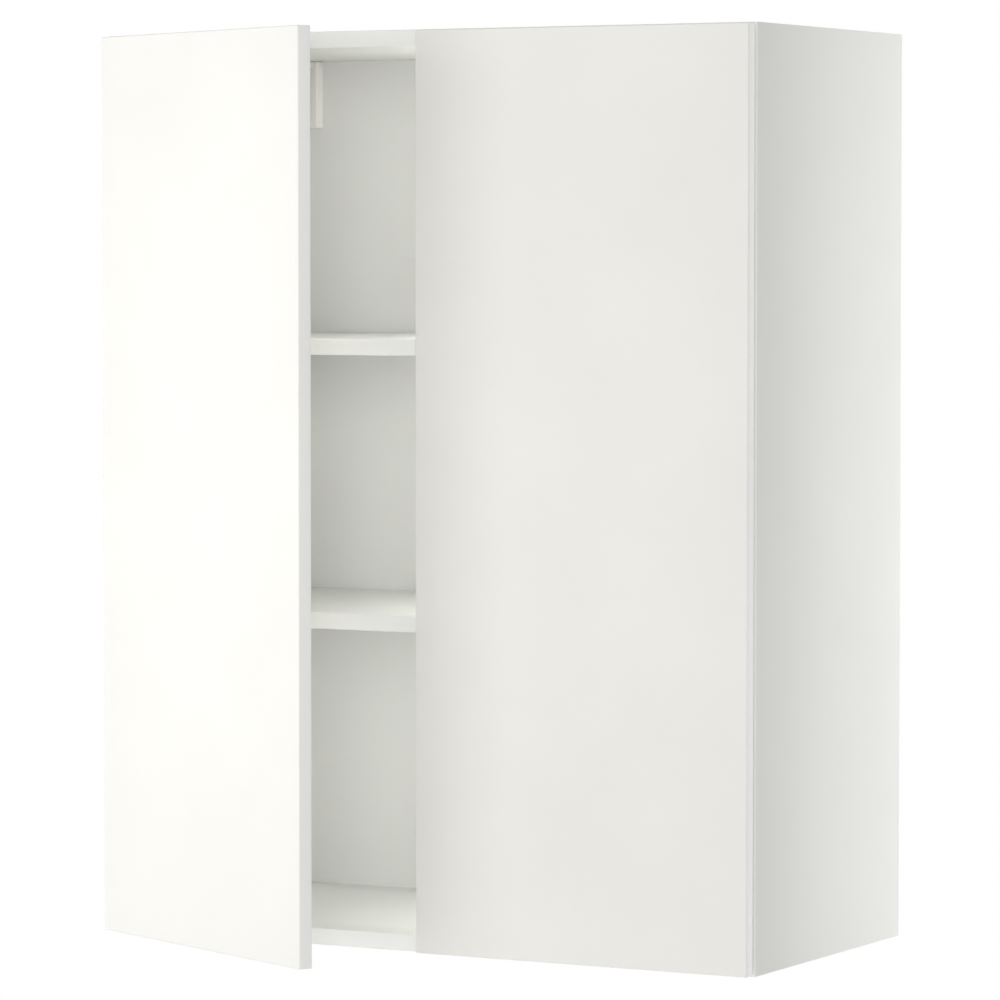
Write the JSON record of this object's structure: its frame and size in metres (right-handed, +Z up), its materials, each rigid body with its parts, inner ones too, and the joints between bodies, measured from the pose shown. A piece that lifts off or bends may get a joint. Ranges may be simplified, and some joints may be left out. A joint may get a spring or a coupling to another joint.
{
  "type": "hanging wall cabinet",
  "caption": "Tall frameless wall cabinet with twin slab doors on concealed cup hinges, adjustable shelves and rear suspension brackets for hanging on a wall.",
  "frame": {"origin": "on the wall plane, at the middle of the carcass's bottom rear edge", "axes": "+X to the right seen from the front, +Y into the wall, +Z up"},
  "size_m": [0.8, 0.559, 1.0012],
  "materials": {
    "door_board": "satin white foil",
    "melamine_board": "fine-textured white melamine",
    "hardboard": "white lacquered hardboard",
    "edge_banding": "white banding",
    "pin_steel": "zinc-plated steel",
    "beech": "bare beech",
    "zinc_casting": "die-cast zinc",
    "screw_steel": "zinc-plated steel",
    "white_plastic": "moulded white plastic",
    "bumper_rubber": "clear-grey soft plastic",
    "zinc_plate": "galvanised steel",
    "nickel_plate": "nickel-plated steel"
  },
  "bodies": {
    "carcass": {"back_panel": "hardboard", "bottom_edge_band": "edge_banding", "bottom_panel": "melamine_board", "bracket_screws": "screw_steel", "cam_bolts": "screw_steel", "cam_caps": "white_plastic", "cam_locks": "zinc_casting", "dowels": "beech", "hinge_arm_pins": "screw_steel", "hinge_arm_screws": "screw_steel", "hinge_arms": "nickel_plate", "hinge_plate_screws": "screw_steel", "hinge_plates": "nickel_plate", "left_bracket_cover": "white_plastic", "left_side_panel": "melamine_board", "left_suspension_bracket": "zinc_plate", "lower_shelf": "melamine_board", "lower_shelf_edge_band": "edge_banding", "lower_shelf_pins": "pin_steel", "right_bracket_cover": "white_plastic", "right_side_panel": "melamine_board", "right_suspension_bracket": "zinc_plate", "side_edge_bands": "edge_banding", "top_edge_band": "edge_banding", "top_panel": "melamine_board", "upper_shelf": "melamine_board", "upper_shelf_edge_band": "edge_banding", "upper_shelf_pins": "pin_steel"},
    "left_links": {"left_hinge_links": "nickel_plate"},
    "left_door": {"left_door_panel": "door_board", "left_hinge_cups": "nickel_plate", "left_cup_pins": "screw_steel", "left_cup_screws": "screw_steel", "left_door_bumpers": "bumper_rubber"},
    "right_links": {"right_hinge_links": "nickel_plate"},
    "right_door": {"right_door_panel": "door_board", "right_hinge_cups": "nickel_plate", "right_cup_pins": "screw_steel", "right_cup_screws": "screw_steel", "right_door_bumpers": "bumper_rubber"}
  },
  "joints": [
    {"name": "left_link_pivot", "type": "hinge", "parent": "carcass", "child": "left_links", "pos_m": [-0.368, -0.3655, 0.5], "axis": [0, 0, 1], "range_deg": [-6.55, 18.55]},
    {"name": "left_door_hinge", "type": "hinge", "parent": "left_links", "child": "left_door", "pos_m": [-0.38764, -0.38082, 0.5], "axis": [0, 0, -1], "range_deg": [-32.5, 92.5]},
    {"name": "right_link_pivot", "type": "hinge", "parent": "carcass", "child": "right_links", "pos_m": [0.368, -0.3655, 0.5], "axis": [0, 0, -1], "range_deg": [-0.05, 25.05]},
    {"name": "right_door_hinge", "type": "hinge", "parent": "right_links", "child": "right_door", "pos_m": [0.38925, -0.3785, 0.5], "axis": [0, 0, 1], "range_deg": [0, 125]}
  ],
  "couplings": [
    {"joint": "left_link_pivot", "follows": "left_door_hinge", "ratio": 0.2},
    {"joint": "right_link_pivot", "follows": "right_door_hinge", "ratio": 0.2}
  ]
}
